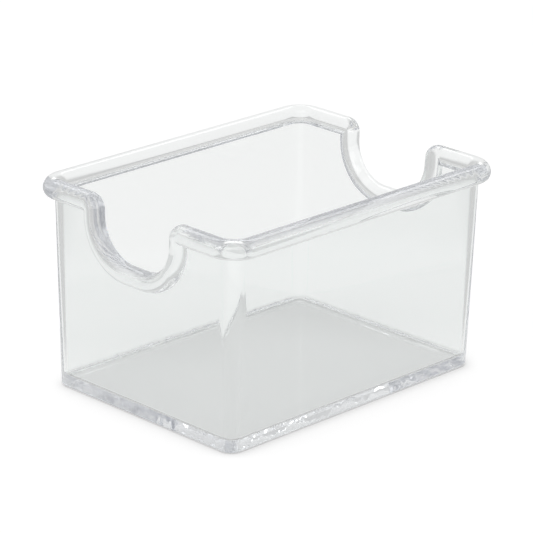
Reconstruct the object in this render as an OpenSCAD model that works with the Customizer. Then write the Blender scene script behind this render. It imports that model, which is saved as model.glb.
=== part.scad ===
// Table holder for sugar packets, one clear moulding, open at the top.
// X runs along the length, Y across the width, Z up from the middle of the foot.
// A packet stands on its long edge between the two long walls.

/* [Tray] */
// Length over the rim bead
rim_length = 104; // [92:1:120]
// Width over the rim bead
rim_width = 78; // [70:0.5:90]
// Height from the foot to the top of the rim bead
height = 60; // [48:0.5:75]
// Thickness of the walls
wall = 2; // [1.9:0.1:2.6]
// Thickness of the floor
floor_thickness = 2.8; // [2:0.1:4]
// Lean of the walls away from upright, in degrees
draft = 1.6; // [0.5:0.1:3]
// Radius of the inside corners at floor level
inner_corner_radius = 2; // [1.6:0.1:4]
// Radius where the floor meets the walls inside
floor_fillet = 1.5; // [0.4:0.1:1.6]
// Radius of the outer edge under the foot
foot_edge_radius = 1; // [0.2:0.1:1.4]

/* [Rim bead] */
// How far the bead stands out from the wall
bead_overhang = 3.2; // [3:0.1:4]
// Radius of the bead above its widest point
bead_top_radius = 3; // [2:0.1:3.2]
// Radius of the bead below its widest point
bead_under_radius = 2.3; // [1.4:0.1:2.9]
// Radius of the inner edge along the top of the bead
crest_radius = 1.9; // [0.8:0.1:2]

/* [Finger notches] */
// Width of each notch between its upright sides
notch_width = 27; // [22:0.5:34]
// Depth of each notch below the rim
notch_depth = 16.8; // [16:0.2:26]
// Radius of the two lower corners of a notch
notch_corner_radius = 10.7; // [6:0.1:11]
// Radius of the shoulders where the rim turns down into a notch
shoulder_radius = 4.3; // [3.2:0.1:5]

/* [Hidden] */
$fn = 64;

// How far a cut runs past the surface that it opens
overrun = 1;
// Step that places are rounded to, so that neighbouring pieces meet face to face
grid = 0.001;
quarter_turn = 90;
eighth_turn = quarter_turn / 2;
clear_plastic = [0.87, 0.91, 0.89, 0.55];

function on_grid(place) = round(place / grid) * grid;

// Wall seen in section, r outwards from the axis of a corner, z up
lean = tan(draft);
wall_run = wall / cos(draft);
foot_radius = inner_corner_radius + wall_run - floor_thickness * lean;
crest_rise = (wall - crest_radius) * sin(draft) + crest_radius * (1 - cos(draft));
crest_z = on_grid(height - crest_rise);
crest_r = on_grid(foot_radius + crest_z * lean);
bead_height = bead_top_radius + bead_under_radius;
bead_reach = (bead_overhang - bead_top_radius) * cos(draft) + bead_top_radius * (1 - sin(draft));

function outer_wall_r(z) = crest_r - (crest_z - z) * lean;
function inner_wall_r(z) = outer_wall_r(z) - wall_run;

// Corner axes, upright lines that the four rounded corners turn about
corner_x = on_grid(rim_length / 2 - bead_reach - crest_r);
corner_y = on_grid(rim_width / 2 - bead_reach - crest_r);

// Centres of the round edges, seen in section
foot_edge_r = on_grid(outer_wall_r(foot_edge_radius) - foot_edge_radius) + grid;
fillet_z = floor_thickness + floor_fillet;
fillet_r = on_grid(inner_wall_r(fillet_z) - floor_fillet) + grid;

// Centres of the arcs of a notch, y from the middle, v up the wall from the crest
shoulder_y = notch_width / 2 + shoulder_radius;
notch_corner_y = notch_width / 2 - notch_corner_radius;
notch_corner_v = notch_corner_radius - notch_depth;
side_length = notch_depth - notch_corner_radius - shoulder_radius;

// Quarter disc in the first quadrant
module quarter_disc(radius) {
    intersection() {
        circle(radius);
        square(radius);
    }
}

// Section drawn in the leaning wall's own axes, u outwards and v up from the crest
module in_wall_section() {
    translate([crest_r, crest_z])
        rotate(-draft)
            children();
}

// Rounded bead with the top of the wall behind it
module bead_section() {
    bead_mid = bead_overhang - bead_top_radius;
    under_mid = bead_overhang - bead_under_radius;
    crest_mid = crest_radius - wall;
    union() {
        polygon([
            [-wall, -bead_height], [under_mid, -bead_height],
            [under_mid, -bead_top_radius], [bead_mid, -bead_top_radius],
            [bead_mid, 0], [crest_mid, 0],
            [crest_mid, -crest_radius], [-wall, -crest_radius]
        ]);
        translate([bead_mid, -bead_top_radius])
            quarter_disc(bead_top_radius);
        translate([under_mid, -bead_top_radius])
            mirror([0, 1])
                quarter_disc(bead_under_radius);
        translate([crest_mid, -crest_radius])
            mirror([1, 0])
                quarter_disc(crest_radius);
    }
}

// Everything above the foot, with the outer edge of the foot rounded
module foot_clip() {
    reach = crest_r + overrun;
    polygon([
        [0, 0], [foot_edge_r, 0], [foot_edge_r, foot_edge_radius],
        [reach, foot_edge_radius], [reach, height], [0, height]
    ]);
    translate([foot_edge_r, foot_edge_radius])
        mirror([0, 1])
            quarter_disc(foot_edge_radius);
}

// Wall below the bead, with its strip of floor and the fillet between them
module wall_section() {
    wall_mid_r = inner_wall_r(0) + wall_run / 2;
    intersection() {
        foot_clip();
        union() {
            in_wall_section()
                translate([-wall, -height - overrun])
                    square([wall, height + overrun - bead_height]);
            square([wall_mid_r, floor_thickness]);
        }
    }
    difference() {
        translate([fillet_r, floor_thickness / 2])
            square([wall_mid_r - fillet_r, fillet_z - floor_thickness / 2]);
        translate([fillet_r, fillet_z])
            circle(floor_fillet);
    }
}

module full_section() {
    wall_section();
    in_wall_section()
        bead_section();
}

// Straight run of a section along Y, centred
module run_along_y(length) {
    translate([0, length / 2, 0])
        rotate([quarter_turn, 0, 0])
            linear_extrude(length)
                children();
}

module corner() {
    translate([corner_x, corner_y, 0])
        rotate_extrude(angle = quarter_turn)
            full_section();
}

module long_side() {
    rotate([0, 0, quarter_turn])
        translate([corner_y, 0, 0])
            run_along_y(2 * corner_x)
                full_section();
}

// Solids placed in an end wall's own axes, u outwards, y across, v up from the crest
module on_end_wall() {
    translate([corner_x, 0, 0])
        translate([crest_r, 0, crest_z])
            rotate([0, draft, 0])
                children();
}

// Turns a revolved solid so that its axis points out of the end wall
module axis_outwards() {
    rotate([quarter_turn, 0, quarter_turn])
        children();
}

// Opening that the notch and its bead take out of the end wall
module notch_cut() {
    cut_half = notch_width / 2 + bead_height;
    cut_bottom = notch_depth + bead_height;
    translate([-wall - overrun, 0, 0])
        axis_outwards()
            linear_extrude(wall + 2 * overrun) {
                translate([-cut_half, notch_corner_v])
                    square([2 * cut_half, overrun - notch_corner_v]);
                translate([-notch_corner_y, -cut_bottom])
                    square([2 * notch_corner_y, cut_bottom + notch_corner_v]);
                for (side = [0, 1])
                    mirror([side, 0])
                        translate([notch_corner_y, notch_corner_v])
                            mirror([0, 1])
                                quarter_disc(notch_corner_radius + bead_height);
            }
}

// One side of the plane where the bead of the rim meets the bead of the notch
module mitre_side(above) {
    size = 2 * (height + rim_width);
    translate([0, shoulder_y, -shoulder_radius])
        rotate([-eighth_turn, 0, 0])
            translate([-size / 2, -size / 2, above ? 0 : -size])
                cube(size);
}

// Rim from the shoulder of the notch to past the corner
module rim_stub() {
    length = corner_y - shoulder_y + overrun;
    intersection() {
        translate([0, shoulder_y + length / 2, 0])
            run_along_y(length)
                bead_section();
        mitre_side(true);
    }
}

// Bead turning down over the shoulder
module shoulder_bead() {
    translate([0, shoulder_y, -shoulder_radius])
        axis_outwards()
            rotate([0, 0, quarter_turn])
                rotate_extrude(angle = quarter_turn)
                    intersection() {
                        translate([shoulder_radius, 0])
                            mirror([1, -1])
                                bead_section();
                        translate([0, -wall - overrun])
                            square([shoulder_radius, wall + bead_overhang + 2 * overrun]);
                    }
}

// Bead running down the side of the notch
module side_bead() {
    intersection() {
        translate([0, notch_width / 2, -shoulder_radius])
            rotate([2 * quarter_turn, 0, 0])
                linear_extrude(side_length)
                    bead_section();
        mitre_side(false);
    }
}

// Bead round a lower corner of the notch
module corner_bead() {
    translate([0, notch_corner_y, notch_corner_v])
        axis_outwards()
            rotate([0, 0, -quarter_turn])
                rotate_extrude(angle = quarter_turn)
                    translate([notch_corner_radius, 0])
                        rotate(quarter_turn)
                            bead_section();
}

// Bead along the bottom of the notch
module bottom_bead() {
    translate([0, 0, -notch_depth])
        run_along_y(2 * notch_corner_y)
            bead_section();
}

module end_wall() {
    difference() {
        translate([corner_x, 0, 0])
            run_along_y(2 * corner_y)
                wall_section();
        on_end_wall()
            notch_cut();
    }
    intersection() {
        on_end_wall() {
            bottom_bead();
            for (side = [0, 1])
                mirror([0, side, 0]) {
                    rim_stub();
                    shoulder_bead();
                    side_bead();
                    corner_bead();
                }
        }
        translate([0, -corner_y, 0])
            cube([rim_length, 2 * corner_y, height + overrun]);
    }
}

module floor_panel() {
    translate([-corner_x, -corner_y, 0])
        cube([2 * corner_x, 2 * corner_y, floor_thickness]);
}

// The whole moulding: floor, two plain long walls, two notched end walls, four corners
module holder_body() {
    color(clear_plastic)
        union() {
            floor_panel();
            for (end = [0, 1])
                mirror([end, 0, 0]) {
                    end_wall();
                    for (side = [0, 1])
                        mirror([0, side, 0])
                            corner();
                }
            for (side = [0, 1])
                mirror([0, side, 0])
                    long_side();
        }
}

holder_body();
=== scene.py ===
import math

import bpy
from mathutils import Matrix, Vector


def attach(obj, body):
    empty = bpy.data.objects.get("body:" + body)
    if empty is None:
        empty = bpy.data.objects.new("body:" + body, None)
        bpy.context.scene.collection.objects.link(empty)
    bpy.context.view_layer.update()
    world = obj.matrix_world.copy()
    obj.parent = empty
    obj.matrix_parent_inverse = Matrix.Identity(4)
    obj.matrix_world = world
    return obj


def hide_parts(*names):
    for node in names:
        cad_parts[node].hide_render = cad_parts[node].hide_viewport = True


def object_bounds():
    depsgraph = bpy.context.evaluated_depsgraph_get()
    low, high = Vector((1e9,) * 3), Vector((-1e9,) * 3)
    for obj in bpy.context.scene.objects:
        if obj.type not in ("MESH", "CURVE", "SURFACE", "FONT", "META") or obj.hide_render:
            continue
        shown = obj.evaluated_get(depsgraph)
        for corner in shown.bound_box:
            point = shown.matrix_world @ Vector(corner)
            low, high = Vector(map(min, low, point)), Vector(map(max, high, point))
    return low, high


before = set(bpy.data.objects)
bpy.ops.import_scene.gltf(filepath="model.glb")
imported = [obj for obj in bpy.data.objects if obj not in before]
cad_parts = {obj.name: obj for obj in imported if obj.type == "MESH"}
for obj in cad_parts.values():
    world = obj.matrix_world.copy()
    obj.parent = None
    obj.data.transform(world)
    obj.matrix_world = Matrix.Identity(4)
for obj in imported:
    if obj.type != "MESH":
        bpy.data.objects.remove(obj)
cadLow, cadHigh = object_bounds()
mm = 0.001


# Node trees are written as sums: a Number is a socket that can be added, multiplied and so on

class Number:
    def __init__(self, tree, socket):
        self.tree = tree
        self.socket = socket

    def step(self, operation, *values, clamp=False):
        node = self.tree.nodes.new("ShaderNodeMath")
        node.operation = operation
        node.use_clamp = clamp
        for entry, value in zip(node.inputs, values):
            if isinstance(value, Number):
                self.tree.links.new(value.socket, entry)
            else:
                entry.default_value = value
        return Number(self.tree, node.outputs[0])

    def __add__(self, other):
        return self.step("ADD", self, other)

    def __radd__(self, other):
        return self.step("ADD", other, self)

    def __sub__(self, other):
        return self.step("SUBTRACT", self, other)

    def __rsub__(self, other):
        return self.step("SUBTRACT", other, self)

    def __mul__(self, other):
        return self.step("MULTIPLY", self, other)

    def __truediv__(self, other):
        return self.step("DIVIDE", self, other)

    def __neg__(self):
        return self.step("MULTIPLY", self, -1.0)

    def floor(self):
        return self.step("FLOOR", self)

    def share(self):  # kept between 0 and 1
        return self.step("ADD", self, 0.0, clamp=True)

    def atLeast(self, other):
        return self.step("MAXIMUM", self, other)

    def atMost(self, other):
        return self.step("MINIMUM", self, other)

    def above(self, other):
        return self.step("GREATER_THAN", self, other)

    def size(self):
        return self.step("ABSOLUTE", self)

    def sin(self):
        return self.step("SINE", self)

    def cos(self):
        return self.step("COSINE", self)

    def tan(self):
        return self.step("TANGENT", self)


def addNode(tree, kind, inputs=None, **settings):
    node = tree.nodes.new(kind)
    for name, value in settings.items():
        setattr(node, name, value)
    for name, value in (inputs or {}).items():
        entry = node.inputs[name]
        if isinstance(value, Number):
            tree.links.new(value.socket, entry)
        elif isinstance(value, bpy.types.NodeSocket):
            tree.links.new(value, entry)
        else:
            entry.default_value = value
    return node


# Clear moulding

quarter = math.pi / 2
holderBody = {
    "wall": 2 * mm,
    "floorThickness": 2.8 * mm,
    "draft": math.radians(1.6),
    "innerCornerRadius": 2 * mm,
    "floorFillet": 1.5 * mm,
    "footEdgeRadius": 1 * mm,
    "beadOverhang": 3.2 * mm,
    "beadTopRadius": 3 * mm,
    "beadUnderRadius": 2.3 * mm,
    "crestRadius": 1.9 * mm,
    "notchWidth": 27 * mm,
    "notchDepth": 16.8 * mm,
    "notchCornerRadius": 10.7 * mm,
    "shoulderRadius": 4.3 * mm,
    "creaseAngle": math.radians(28),
    "seam": 0.002 * mm,  # points nearer than this are one
}
holderColumns = {
    "longSide": 4, "corner": 24, "stub": 2, "shoulder": 20, "side": 2, "notchCorner": 28, "bottom": 1,
}
holderRows = {
    "middle": 1, "floor": 1, "fillet": 8, "innerWall": 1, "innerRim": 1, "crest": 12, "crown": 1,
    "beadTop": 16, "beadUnder": 14, "ledge": 1, "outerWall": 1, "footEdge": 6, "foot": 1, "underMiddle": 1,
}


def straight(count, da, db):
    return lambda share: (share * da, share * db), count


def arc(count, radius, start, end):
    def bend(share):
        turn = share * (end - start) + start
        return (turn.cos() - math.cos(start)) * radius, (turn.sin() - math.sin(start)) * radius
    return bend, count


def walk(index, start, pieces):
    # A line of straights and arcs, as a pair of numbers that follow the index along it
    a, b = start
    first = 0
    for move, count in pieces:
        da, db = move(((index - float(first)) / float(count)).share())
        a, b = da + a, db + b
        first += count
    return a, b


def holderTree():
    # One quarter of the moulding is a grid: its columns follow the rim, its rows go round the section
    tree = bpy.data.node_groups.new("holderMoulding", "GeometryNodeTree")
    sockets = tree.interface
    sizes = {
        "rimLength": cadHigh.x - cadLow.x,
        "rimWidth": cadHigh.y - cadLow.y,
        "height": cadHigh.z - cadLow.z,
        **holderBody,
    }
    identifiers = {}
    for name, value in sizes.items():
        socket = sockets.new_socket(name=name, in_out="INPUT", socket_type="NodeSocketFloat")
        socket.default_value = value
        identifiers[name] = socket.identifier
    finish = sockets.new_socket(name="finish", in_out="INPUT", socket_type="NodeSocketMaterial")
    identifiers["finish"] = finish.identifier
    sockets.new_socket(name="Geometry", in_out="OUTPUT", socket_type="NodeSocketGeometry")
    given = addNode(tree, "NodeGroupInput")
    s = {name: Number(tree, given.outputs[name]) for name in sizes}

    # Places that follow from the sizes, the same sums as the solid model's
    lean = s["draft"].tan()
    sinDraft, cosDraft = s["draft"].sin(), s["draft"].cos()
    wallRun = s["wall"] / cosDraft
    footRadius = s["innerCornerRadius"] + wallRun - s["floorThickness"] * lean
    crestRise = (s["wall"] - s["crestRadius"]) * sinDraft + s["crestRadius"] * (1.0 - cosDraft)
    crestZ = s["height"] - crestRise
    crestR = footRadius + crestZ * lean
    beadHeight = s["beadTopRadius"] + s["beadUnderRadius"]
    beadReach = (s["beadOverhang"] - s["beadTopRadius"]) * cosDraft + s["beadTopRadius"] * (1.0 - sinDraft)
    cornerX = s["rimLength"] * 0.5 - beadReach - crestR
    cornerY = s["rimWidth"] * 0.5 - beadReach - crestR
    footEdgeR = crestR - (crestZ - s["footEdgeRadius"]) * lean - s["footEdgeRadius"]
    filletZ = s["floorThickness"] + s["floorFillet"]
    filletR = crestR - (crestZ - filletZ) * lean - wallRun - s["floorFillet"]

    c, r = holderColumns, holderRows
    rowCount = sum(r.values()) + 1
    columnCount = sum(c.values()) + 1
    # The grid's points are numbered column by column
    index = Number(tree, addNode(tree, "GeometryNodeInputIndex").outputs[0])
    column = (index / float(rowCount) + 0.5 / rowCount).floor()
    row = index - column * float(rowCount)

    # Section through wall and bead, across and up from the crest in the leaning wall's own axes
    across, up = walk(row, (-s["wall"], -beadHeight), [
        straight(sum(r[k] for k in ("middle", "floor", "fillet", "innerWall")), 0.0, 0.0),
        straight(r["innerRim"], 0.0, beadHeight - s["crestRadius"]),
        arc(r["crest"], s["crestRadius"], 2 * quarter, quarter),
        straight(r["crown"], s["beadOverhang"] - s["beadTopRadius"] + s["wall"] - s["crestRadius"], 0.0),
        arc(r["beadTop"], s["beadTopRadius"], quarter, 0),
        arc(r["beadUnder"], s["beadUnderRadius"], 0, -quarter),
        straight(r["ledge"], s["beadUnderRadius"] - s["beadOverhang"], 0.0),
    ])
    depth = -up

    # The rim seen square to the end wall: past the corner it turns down into the notch and along its bottom
    past = (depth - s["shoulderRadius"]).atLeast(0.0)  # rows inside the shoulder's turn meet in a mitre
    shoulderY = s["notchWidth"] * 0.5 + s["shoulderRadius"]
    notchCornerY = s["notchWidth"] * 0.5 - s["notchCornerRadius"]
    sideLength = s["notchDepth"] - s["notchCornerRadius"] - s["shoulderRadius"]
    rimY, rimUp = walk(column, (cornerY, up), [
        straight(c["longSide"] + c["corner"], 0.0, 0.0),
        straight(c["stub"], shoulderY + past - cornerY, 0.0),
        arc(c["shoulder"], (s["shoulderRadius"] - depth).atLeast(0.0), quarter, 2 * quarter),
        straight(c["side"], 0.0, past - sideLength),
        arc(c["notchCorner"], s["notchCornerRadius"] + depth, 0, -quarter),
        straight(c["bottom"], -notchCornerY, 0.0),
    ])

    # Distance out from the corner's axis and height, above and below the bead's line
    above = sum(r[k] for k in ("beadTop", "beadUnder", "ledge", "crown", "crest", "innerRim"))
    below = sum(r[k] for k in ("middle", "floor", "fillet", "innerWall"))
    lowR, lowZ = walk(row, (0.0, s["floorThickness"]), [
        straight(r["middle"], 0.0, 0.0),
        straight(r["floor"], filletR, 0.0),
        arc(r["fillet"], s["floorFillet"], -quarter, 0),
        straight(r["innerWall"] + above + r["outerWall"],
                 footEdgeR + s["footEdgeRadius"] - filletR - s["floorFillet"],
                 s["footEdgeRadius"] - filletZ),
        arc(r["footEdge"], s["footEdgeRadius"], 0, -quarter),
        straight(r["foot"], -footEdgeR, 0.0),
    ])
    onRim = row.above(below - 0.5) * (1.0 - row.above(below + above + 0.5))
    out = lowR + onRim * (crestR + across * cosDraft + rimUp * sinDraft - lowR)
    z = lowZ + onRim * (crestZ - across * sinDraft + rimUp * cosDraft - lowZ)

    # The first and last rows close at the middle of the floor, above and below
    spread = row.atMost(1.0) * ((rowCount - 1.0) - row).atMost(1.0)
    turn = ((column - float(c["longSide"])) / float(c["corner"])).share() * quarter
    x = ((column / float(c["longSide"])).share() * cornerX + out * turn.sin()) * spread
    y = (rimY + out * turn.cos()) * spread

    grid = addNode(tree, "GeometryNodeMeshGrid", {"Vertices X": columnCount, "Vertices Y": rowCount})
    place = addNode(tree, "ShaderNodeCombineXYZ", {"X": x, "Y": y, "Z": z})
    placed = addNode(tree, "GeometryNodeSetPosition", {
        "Geometry": grid.outputs["Mesh"], "Position": place.outputs[0]})
    whole = placed.outputs[0]
    for mirrored in ((-1, 1, 1), (1, -1, 1)):
        copy = addNode(tree, "GeometryNodeTransform", {"Geometry": whole, "Scale": mirrored})
        turned = addNode(tree, "GeometryNodeFlipFaces", {"Mesh": copy.outputs[0]})
        joined = addNode(tree, "GeometryNodeJoinGeometry")
        tree.links.new(whole, joined.inputs[0])
        tree.links.new(turned.outputs[0], joined.inputs[0])
        whole = joined.outputs[0]
    closed = addNode(tree, "GeometryNodeMergeByDistance", {"Geometry": whole, "Distance": s["seam"]})
    angle = addNode(tree, "GeometryNodeInputMeshEdgeAngle").outputs["Unsigned Angle"]
    crease = Number(tree, angle).above(s["creaseAngle"])
    smooth = addNode(tree, "GeometryNodeSetShadeSmooth", {"Geometry": closed.outputs[0]}, domain="FACE")
    sharp = addNode(tree, "GeometryNodeSetShadeSmooth", {
        "Geometry": smooth.outputs[0], "Selection": crease, "Shade Smooth": False}, domain="EDGE")
    real = addNode(tree, "GeometryNodeRealizeInstances", {"Geometry": sharp.outputs[0]})
    coat = addNode(tree, "GeometryNodeSetMaterial", {
        "Geometry": real.outputs[0], "Material": given.outputs["finish"]})
    addNode(tree, "NodeGroupOutput", {"Geometry": coat.outputs[0]})
    return tree, sizes, identifiers


def makeHolder(finish):
    tree, sizes, identifiers = holderTree()
    seed = bpy.data.objects.new("holderSeed", bpy.data.meshes.new("holderSeed"))
    bpy.context.scene.collection.objects.link(seed)
    nodes = seed.modifiers.new("moulding", "NODES")
    nodes.node_group = tree
    for name, value in sizes.items():
        nodes[identifiers[name]] = value
    nodes[identifiers["finish"]] = finish
    evaluated = seed.evaluated_get(bpy.context.evaluated_depsgraph_get())
    mesh = bpy.data.meshes.new_from_object(evaluated)
    mesh.name = "holderMoulding"
    bpy.data.objects.remove(seed)
    holder = bpy.data.objects.new("holderMoulding", mesh)
    bpy.context.scene.collection.objects.link(holder)
    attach(holder, "root")
    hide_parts("holder_body")
    print("holder moulding:", len(mesh.polygons), "faces")


clearPlastic = {
    "tint": (0.969, 0.982, 0.977, 1),
    "depthTint": (0.69, 0.70, 0.735, 1),
    "depthDensity": 6.0,
    "ior": 1.57,
    "roughness": 0.004,
    "hazeRoughness": 0.015,
    "hazeSize": 60.0,
    "hazeDetail": 5.0,
    "hazeFrom": 0.45,  # height of the noise where the haze begins
    "hazeFull": 0.8,
    "filletHaze": 0.35,
    "rippleSize": 34.0,
    "rippleDetail": 1.5,
    "rippleHeight": 0.012 * mm,
    "footWaveSize": 240.0,
    "footWaveDetail": 1.0,
    "footWaveHeight": 0.5 * mm,
    "footWaveStretch": 0.3,
    "footTop": 4.5 * mm,  # the foot's zone ends this high
    "footReach": 2.5 * mm,  # and this far in from the outer wall
    "footEdge": 1.5 * mm,
    "insideReach": 1.5 * mm,  # the hazy fillet's zone reaches this far into the foot's
    "insideEdge": 0.5 * mm,
    "wallLight": 0.94,  # shares of soft light that pass
    "floorLight": 0.81,
    "footLight": 0.25,
}


def makeClearPlastic():
    p = clearPlastic
    material = bpy.data.materials.new("clearPlastic")
    material.use_nodes = True
    tree = material.node_tree
    tree.nodes.clear()
    place = addNode(tree, "ShaderNodeTexCoord").outputs["Object"]
    ripple = addNode(tree, "ShaderNodeTexNoise", {
        "Vector": place, "Scale": p["rippleSize"], "Detail": p["rippleDetail"]})
    haze = addNode(tree, "ShaderNodeTexNoise", {
        "Vector": place, "Scale": p["hazeSize"], "Detail": p["hazeDetail"]})
    spread = addNode(tree, "ShaderNodeMapRange", {
        "Value": haze.outputs[0], "From Min": p["hazeFrom"], "From Max": p["hazeFull"],
        "To Min": p["roughness"], "To Max": p["hazeRoughness"]})

    # Waves round the foot for its broken glints, and a hazy fillet where the floor meets the walls inside;
    # outwards is the way from the inner edge of the foot's zone, and relief is a height in metres
    apart = addNode(tree, "ShaderNodeSeparateXYZ", {"Vector": place})
    x, y, z = (Number(tree, apart.outputs[name]) for name in "XYZ")
    inset = holderBody["beadOverhang"] + cadHigh.z * math.tan(holderBody["draft"]) + p["footReach"]
    outwards = (x.size() - (cadHigh.x - inset)).atLeast(y.size() - (cadHigh.y - inset))
    nearTable = ((p["footTop"] - z) / p["footEdge"]).share()
    atFoot = (outwards / p["footEdge"]).share() * nearTable
    inside = ((p["insideReach"] - outwards) / p["insideEdge"]).share()
    atFillet = inside * ((z - holderBody["floorThickness"]) / p["insideEdge"]).share() * nearTable
    upright = addNode(tree, "ShaderNodeCombineXYZ", {"X": x, "Y": y, "Z": z * p["footWaveStretch"]})
    footWave = addNode(tree, "ShaderNodeTexNoise", {
        "Vector": upright.outputs[0], "Scale": p["footWaveSize"], "Detail": p["footWaveDetail"]})
    relief = (Number(tree, ripple.outputs[0]) * p["rippleHeight"]
              + Number(tree, footWave.outputs[0]) * atFoot * (1.0 - atFillet) * p["footWaveHeight"])
    bump = addNode(tree, "ShaderNodeBump", {"Height": relief, "Distance": 1.0, "Strength": 1.0})
    surface = addNode(tree, "ShaderNodeBsdfPrincipled", {
        "Base Color": p["tint"], "IOR": p["ior"], "Transmission Weight": 1.0, "Normal": bump.outputs[0],
        "Roughness": Number(tree, spread.outputs[0]) + atFillet * p["filletHaze"]})
    depth = addNode(tree, "ShaderNodeVolumeAbsorption", {
        "Color": p["depthTint"], "Density": p["depthDensity"]})

    # Lamp light and diffuse light pass straight through, less at the foot, for a pale and tight shadow
    ray = addNode(tree, "ShaderNodeLightPath")
    soft = (Number(tree, ray.outputs["Is Shadow Ray"])
            + Number(tree, ray.outputs["Is Diffuse Ray"])).share()
    passed = (p["wallLight"] + nearTable * (p["floorLight"] - p["wallLight"])
              + atFoot * (p["footLight"] - p["floorLight"]))
    through = addNode(tree, "ShaderNodeBsdfTransparent", {"Color": passed})
    either = addNode(tree, "ShaderNodeMixShader", {"Fac": soft})
    tree.links.new(surface.outputs[0], either.inputs[1])
    tree.links.new(through.outputs[0], either.inputs[2])
    addNode(tree, "ShaderNodeOutputMaterial", {"Surface": either.outputs[0], "Volume": depth.outputs[0]})
    return material


# Camera at the photograph's viewing angle

photoCamera = {
    "azimuth": math.radians(-45.494),
    "elevation": math.radians(20.323),
    "roll": math.radians(1.045),
    "distance": 858.3 * mm,
    "lens": 211.65,  # millimetres, and so is the sensor's width
    "sensor": 36,
    "farClip": 20,
    "aimRight": -0.28 * mm,
    "aimUp": 1.5 * mm,
}


def makeCamera():
    p = photoCamera
    a, e, roll = p["azimuth"], p["elevation"], p["roll"]
    back = Vector((math.sin(a) * math.cos(e), -math.cos(a) * math.cos(e), math.sin(e)))
    level = Vector((math.cos(a), math.sin(a), 0))
    upright = back.cross(level)
    right = level * math.cos(roll) + upright * math.sin(roll)
    up = upright * math.cos(roll) - level * math.sin(roll)
    middle = Vector((0, 0, cadHigh.z / 2))
    place = middle + back * p["distance"] + right * p["aimRight"] + up * p["aimUp"]
    data = bpy.data.cameras.new("photoCamera")
    data.sensor_width = p["sensor"]
    data.lens = p["lens"]
    data.clip_end = p["farClip"]
    camera = bpy.data.objects.new("photoCamera", data)
    camera.matrix_world = Matrix.Translation(place) @ Matrix((right, up, back)).transposed().to_4x4()
    bpy.context.scene.collection.objects.link(camera)
    bpy.context.scene.camera = camera
    print("camera placed")


# Floor, world and lamps

studio = {
    "floorHalfWidth": 3.0,
    "gap": 0.05 * mm,
    "floorColour": (0.9, 0.9, 0.9, 1),
    "floorLift": 0.4,
    "floorLiftInGloss": 0.3,
    "sweepTurn": math.radians(-45.5),
    "sweepHalfWidth": 60 * mm,
    "sweepEdge": 24 * mm,
    "sideShade": 0.32,
    "worldColour": (1, 1, 1, 1),
    "worldSeen": 1.0,  # glow of the world to the camera, in gloss and on everything else
    "worldInGloss": 0.72,
    "worldLight": 0.43,
    "ringFoot": 0.42,
    "ringTop": 0.75,
    "ringEdge": 0.03,
    "ringGlow": 0.2,
    "panelFoot": 0.62,
    "panelGlow": 2.1,
    "panelEdge": 0.1,
    "frontGlow": 0.9,
    "topShade": 0.37,
    "bounces": 128,
}


def rayKinds(tree):
    # Rays straight from the camera, and rays that the plastic has bent or thrown back
    ray = addNode(tree, "ShaderNodeLightPath")
    direct = Number(tree, ray.outputs["Is Camera Ray"])
    inGloss = Number(tree, ray.outputs["Is Glossy Ray"]) + Number(tree, ray.outputs["Is Transmission Ray"])
    return direct, inGloss.share() * (1.0 - direct)


def makeFloor():
    p = studio
    mesh = bpy.data.meshes.new("tableTop")
    half = p["floorHalfWidth"]
    corners = [(-half, -half, 0), (half, -half, 0), (half, half, 0), (-half, half, 0)]
    mesh.from_pydata(corners, [], [(0, 1, 2, 3)])
    material = bpy.data.materials.new("tableTop")
    material.use_nodes = True
    tree = material.node_tree
    tree.nodes.clear()
    direct, inGloss = rayKinds(tree)
    matt = addNode(tree, "ShaderNodeBsdfDiffuse", {"Color": p["floorColour"]})
    lift = addNode(tree, "ShaderNodeEmission", {
        "Strength": direct * p["floorLift"] + inGloss * p["floorLiftInGloss"]})
    both = addNode(tree, "ShaderNodeAddShader")
    tree.links.new(matt.outputs[0], both.inputs[0])
    tree.links.new(lift.outputs[0], both.inputs[1])

    # In gloss the table is darker at both sides of a strip that runs away from the camera
    place = addNode(tree, "ShaderNodeTexCoord").outputs["Object"]
    apart = addNode(tree, "ShaderNodeSeparateXYZ", {"Vector": place})
    sideways = (Number(tree, apart.outputs["X"]) * math.cos(p["sweepTurn"])
                + Number(tree, apart.outputs["Y"]) * math.sin(p["sweepTurn"])).size()
    dark = ((sideways - p["sweepHalfWidth"]) / p["sweepEdge"]).share() * inGloss * p["sideShade"]
    seen = addNode(tree, "ShaderNodeMixShader", {"Fac": dark})
    tree.links.new(both.outputs[0], seen.inputs[1])
    addNode(tree, "ShaderNodeOutputMaterial", {"Surface": seen.outputs[0]})
    mesh.materials.append(material)
    top = bpy.data.objects.new("tableTop", mesh)
    top.location.z = -p["gap"]  # clear of the foot, so that rays tell the two faces apart
    bpy.context.scene.collection.objects.link(top)
    print("table placed")


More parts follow.
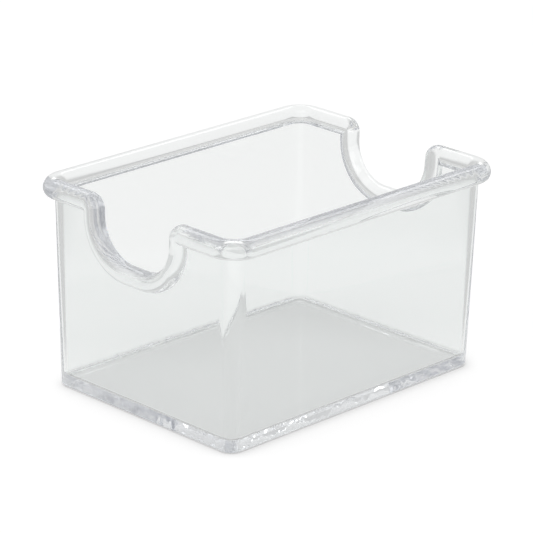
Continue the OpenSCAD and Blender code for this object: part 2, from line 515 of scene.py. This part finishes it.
def makeWorld():
    p = studio
    world = bpy.data.worlds.new("studio")
    bpy.context.scene.world = world
    world.use_nodes = True
    tree = world.node_tree
    tree.nodes.clear()
    direct, inGloss = rayKinds(tree)

    # In gloss: a ring of soft panels half way up, a bright one behind, a low one in front, a dark ceiling
    heading = addNode(tree, "ShaderNodeTexCoord").outputs["Object"]
    apart = addNode(tree, "ShaderNodeSeparateXYZ", {"Vector": heading})
    east, north, height = (Number(tree, apart.outputs[name]) for name in "XYZ")
    sideways = (east * math.cos(p["sweepTurn"]) + north * math.sin(p["sweepTurn"])).size()
    away = north * math.cos(p["sweepTurn"]) - east * math.sin(p["sweepTurn"])
    overFoot = ((height - p["ringFoot"]) / p["ringEdge"]).share()
    overPanelFoot = ((height - p["panelFoot"]) / p["ringEdge"]).share()
    overTop = ((height - p["ringTop"]) / p["ringEdge"]).share()
    behind = ((away - sideways) / p["panelEdge"]).share()
    inFront = ((-away - sideways) / p["panelEdge"]).share()
    ring = (overFoot - overTop) * p["ringGlow"]
    panels = ((overPanelFoot - overTop) * behind * p["panelGlow"]
              + (1.0 - overFoot) * inFront * p["frontGlow"])
    gloss = ring + panels - overTop * p["topShade"] + p["worldInGloss"]
    strength = (direct * (p["worldSeen"] - p["worldLight"])
                + inGloss * (gloss - p["worldLight"]) + p["worldLight"])
    sky = addNode(tree, "ShaderNodeBackground", {"Color": p["worldColour"], "Strength": strength})
    addNode(tree, "ShaderNodeOutputWorld", {"Surface": sky.outputs[0]})
    print("world ready")


lamps = {
    "overheadSoftbox": {"place": (-0.1, 0.1, 1.5), "size": 2.0, "power": 9.4},
    "leftSoftbox": {"place": (-1.1, -0.5, 0.8), "size": 0.6, "power": 1.3},
}


def makeLamps():
    for name, p in lamps.items():
        data = bpy.data.lights.new(name, "AREA")
        data.size = p["size"]
        data.energy = p["power"]
        lamp = bpy.data.objects.new(name, data)
        lamp.location = p["place"]
        lamp.rotation_euler = (-Vector(p["place"])).to_track_quat("-Z", "Y").to_euler()
        bpy.context.scene.collection.objects.link(lamp)
    print("lamps placed")


makeCamera()
makeFloor()
makeWorld()
makeLamps()
makeHolder(makeClearPlastic())
bpy.context.scene.view_settings.view_transform = "Standard"
for limit in ("max_bounces", "glossy_bounces", "transmission_bounces"):  # light runs far inside the bead
    setattr(bpy.context.scene.cycles, limit, studio["bounces"])
